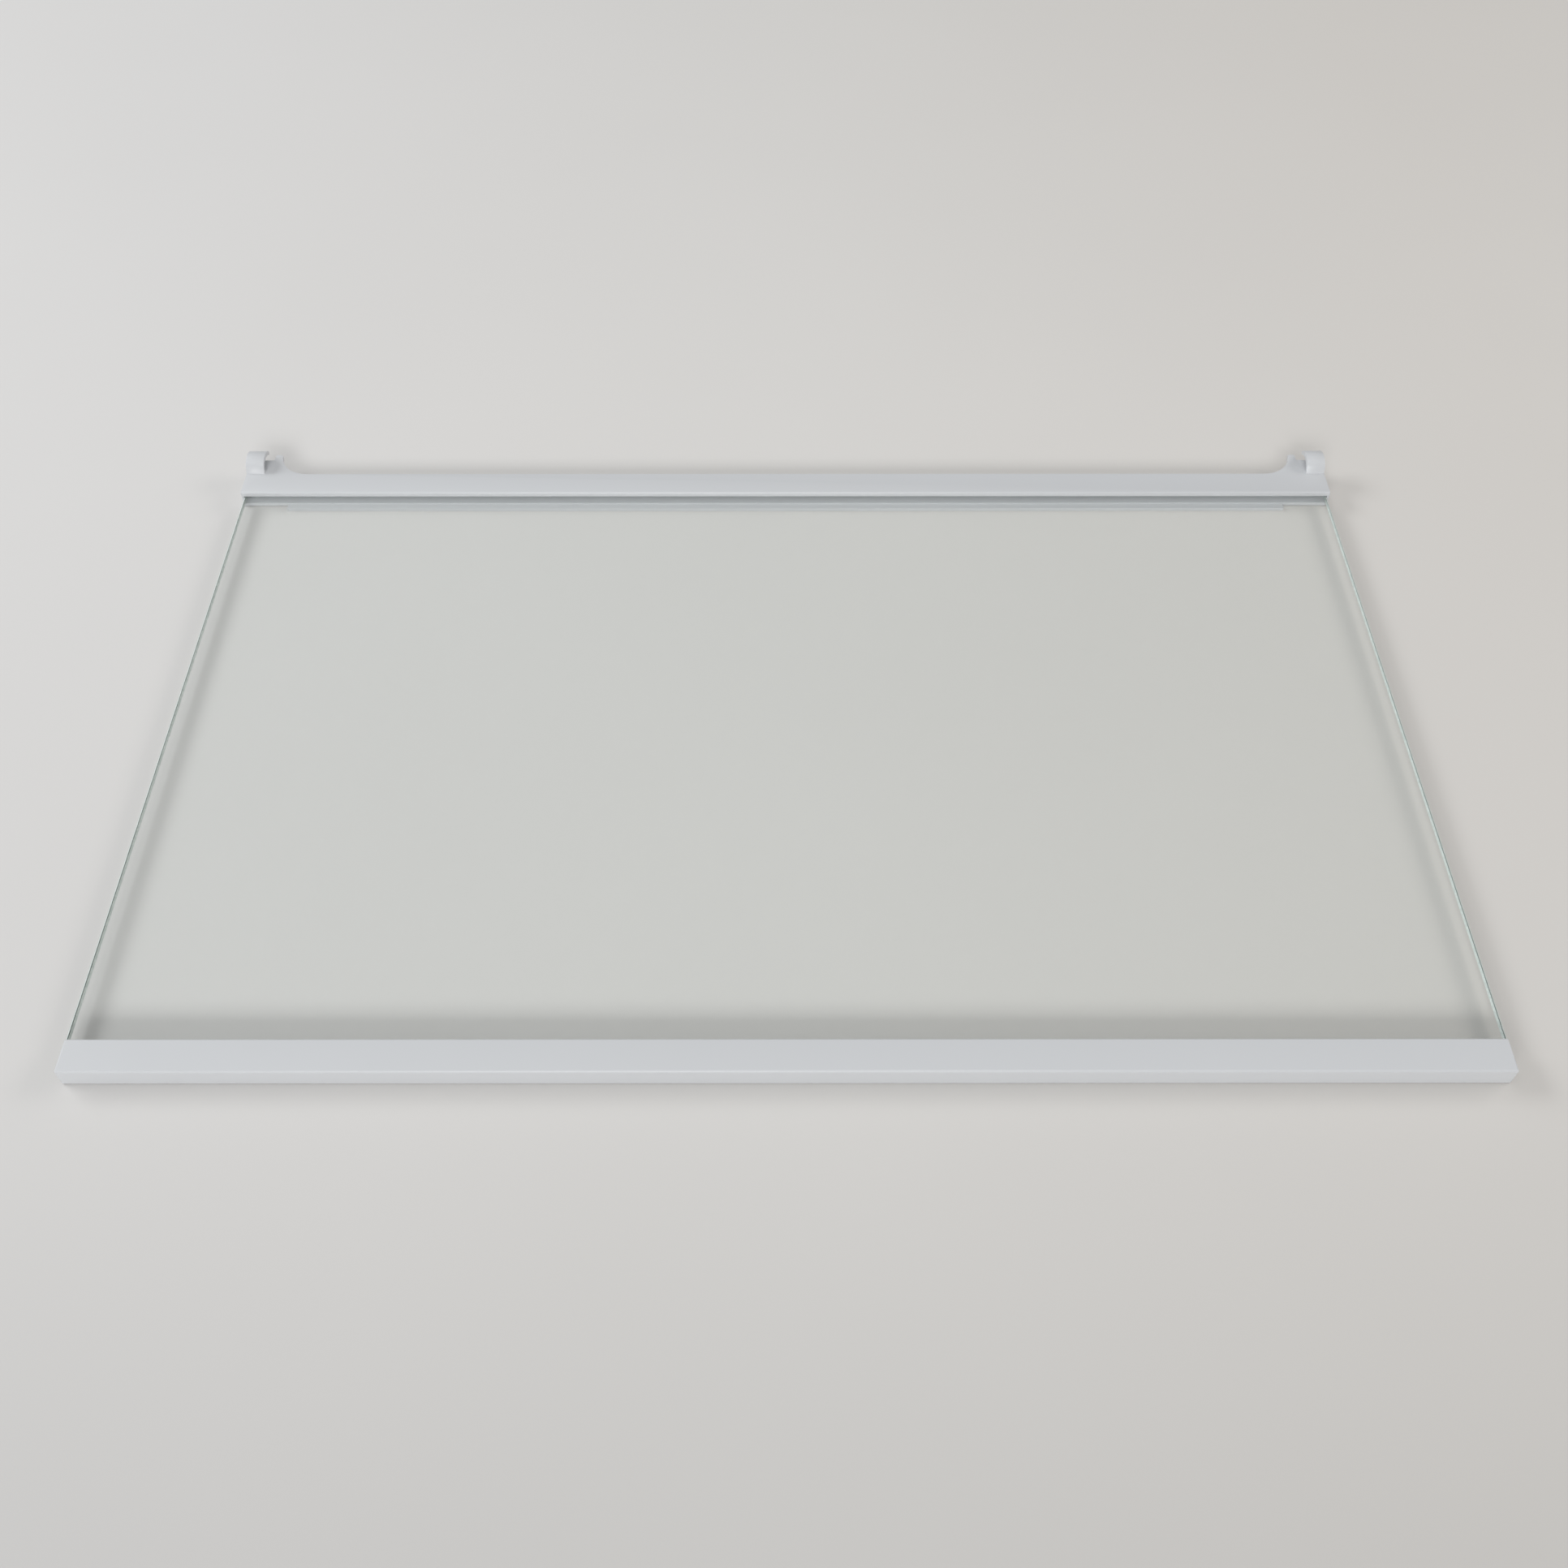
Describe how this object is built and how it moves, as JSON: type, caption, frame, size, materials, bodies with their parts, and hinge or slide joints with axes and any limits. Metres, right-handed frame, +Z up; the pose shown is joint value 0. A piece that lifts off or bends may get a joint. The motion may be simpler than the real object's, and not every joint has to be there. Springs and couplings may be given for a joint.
{
  "type": "refrigerator shelf",
  "caption": "Rectangular clear glass shelf held in white moulded front and rear trims, the rear one with notched ears and sprung tongues.",
  "frame": {"origin": "on the surface the shelf stands on, under the middle of its outer size", "axes": "+X across the shelf to the right, -Y the front trim, +Z up"},
  "size_m": [0.477, 0.3102, 0.0132],
  "materials": {
    "clear_glass": "clear float glass with ground edge bevels and a faint green tint",
    "white_plastic": "white moulded plastic, semi-gloss with a fine satin surface"
  },
  "bodies": {
    "root": {"glass_pane": "clear_glass", "front_trim": "white_plastic", "rear_trim": "white_plastic"}
  },
  "joints": []
}
